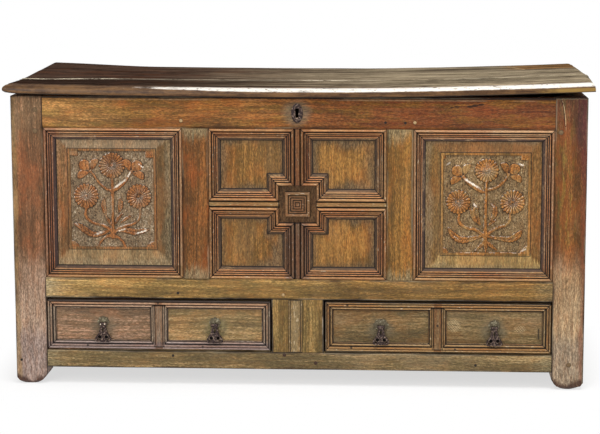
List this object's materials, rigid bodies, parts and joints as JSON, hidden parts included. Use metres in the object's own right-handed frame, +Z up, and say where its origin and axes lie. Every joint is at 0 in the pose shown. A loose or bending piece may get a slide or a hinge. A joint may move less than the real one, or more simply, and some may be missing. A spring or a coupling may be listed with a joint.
{
  "type": "mule chest",
  "caption": "Joined oak mule chest: a panelled box with a hinged lid over a deep compartment, carved end panels, a moulded centre panel, and drawers with drop handles below.",
  "frame": {"origin": "middle of the footprint, on the floor", "axes": "+X to the right along the front, +Y to the back, +Z up; the front faces -Y"},
  "size_m": [1.44, 0.56, 0.751],
  "materials": {
    "oak_frame": "waxed old oak, golden to reddish brown, satin",
    "oak_post": "waxed old oak, purple-brown, greyer and worn at the foot",
    "oak_panel": "dry golden oak with dark grounds",
    "oak_moulding": "dark red-brown moulding with light worn edges",
    "oak_lid": "dark, dry, bleached oak with a polished front edge",
    "oak_drawer_front": "greyish brown oak, rubbed",
    "raw_oak": "unfinished oak, dusty",
    "aged_brass": "dark tarnished brass, bright where it is rubbed",
    "dark_iron": "wrought iron, dark and slightly rusty"
  },
  "bodies": {
    "carcase": {"front_left_post": "oak_post", "front_right_post": "oak_post", "rear_left_post": "oak_post", "rear_right_post": "oak_post", "front_top_rail": "oak_frame", "front_middle_rail": "oak_frame", "front_bottom_rail": "oak_frame", "left_muntin": "oak_frame", "right_muntin": "oak_frame", "drawer_muntin": "oak_frame", "left_carved_panel": "oak_panel", "right_carved_panel": "oak_panel", "centre_panel": "oak_panel", "left_panel_moulding": "oak_moulding", "right_panel_moulding": "oak_moulding", "centre_moulding": "oak_moulding", "centre_boss": "oak_moulding", "left_side_top_rail": "oak_frame", "left_side_bottom_rail": "oak_frame", "left_side_panel": "oak_panel", "right_side_top_rail": "oak_frame", "right_side_bottom_rail": "oak_frame", "right_side_panel": "oak_panel", "back_top_rail": "oak_frame", "back_bottom_rail": "oak_frame", "back_panel": "oak_panel", "chest_floor": "raw_oak", "left_runner": "raw_oak", "centre_runner": "raw_oak", "right_runner": "raw_oak", "lock_case": "dark_iron", "keyhole_escutcheon": "aged_brass", "left_hinge_leaf": "dark_iron", "right_hinge_leaf": "dark_iron"},
    "lock_bolt": {"lock_bolt": "dark_iron"},
    "lid": {"lid_front_board": "oak_lid", "lid_rear_board": "oak_lid", "left_hinge_strap": "dark_iron", "right_hinge_strap": "dark_iron", "lock_staple": "dark_iron"},
    "left_drawer": {"left_drawer_front": "oak_drawer_front", "left_drawer_left_side": "raw_oak", "left_drawer_right_side": "raw_oak", "left_drawer_back": "raw_oak", "left_drawer_bottom": "raw_oak", "left_drawer_moulding": "oak_moulding", "left_drawer_left_plate": "aged_brass", "left_drawer_right_plate": "aged_brass"},
    "right_drawer": {"right_drawer_front": "oak_drawer_front", "right_drawer_left_side": "raw_oak", "right_drawer_right_side": "raw_oak", "right_drawer_back": "raw_oak", "right_drawer_bottom": "raw_oak", "right_drawer_moulding": "oak_moulding", "right_drawer_left_plate": "aged_brass", "right_drawer_right_plate": "aged_brass"},
    "left_drawer_left_drop": {"left_drawer_left_drop": "aged_brass"},
    "left_drawer_right_drop": {"left_drawer_right_drop": "aged_brass"},
    "right_drawer_left_drop": {"right_drawer_left_drop": "aged_brass"},
    "right_drawer_right_drop": {"right_drawer_right_drop": "aged_brass"}
  },
  "joints": [
    {"name": "lid_hinge", "type": "hinge", "parent": "carcase", "child": "lid", "pos_m": [0, 0.2755, 0.71703], "axis": [-1, 0, 0], "range_deg": [0, 95]},
    {"name": "lock_bolt_slide", "type": "slide", "parent": "carcase", "child": "lock_bolt", "axis": [1, 0, 0], "range_m": [0, 0.02]},
    {"name": "left_drawer_slide", "type": "slide", "parent": "carcase", "child": "left_drawer", "axis": [0, -1, 0], "range_m": [0, 0.33]},
    {"name": "right_drawer_slide", "type": "slide", "parent": "carcase", "child": "right_drawer", "axis": [0, -1, 0], "range_m": [0, 0.33]},
    {"name": "left_drawer_left_drop_swing", "type": "hinge", "parent": "left_drawer", "child": "left_drawer_left_drop", "pos_m": [-0.48187, -0.2638, 0.1533], "axis": [-1, 0, 0], "range_deg": [0, 95]},
    {"name": "left_drawer_right_drop_swing", "type": "hinge", "parent": "left_drawer", "child": "left_drawer_right_drop", "pos_m": [-0.20463, -0.2638, 0.1533], "axis": [-1, 0, 0], "range_deg": [0, 95]},
    {"name": "right_drawer_left_drop_swing", "type": "hinge", "parent": "right_drawer", "child": "right_drawer_left_drop", "pos_m": [0.20463, -0.2638, 0.1533], "axis": [-1, 0, 0], "range_deg": [0, 95]},
    {"name": "right_drawer_right_drop_swing", "type": "hinge", "parent": "right_drawer", "child": "right_drawer_right_drop", "pos_m": [0.48187, -0.2638, 0.1533], "axis": [-1, 0, 0], "range_deg": [0, 95]}
  ]
}
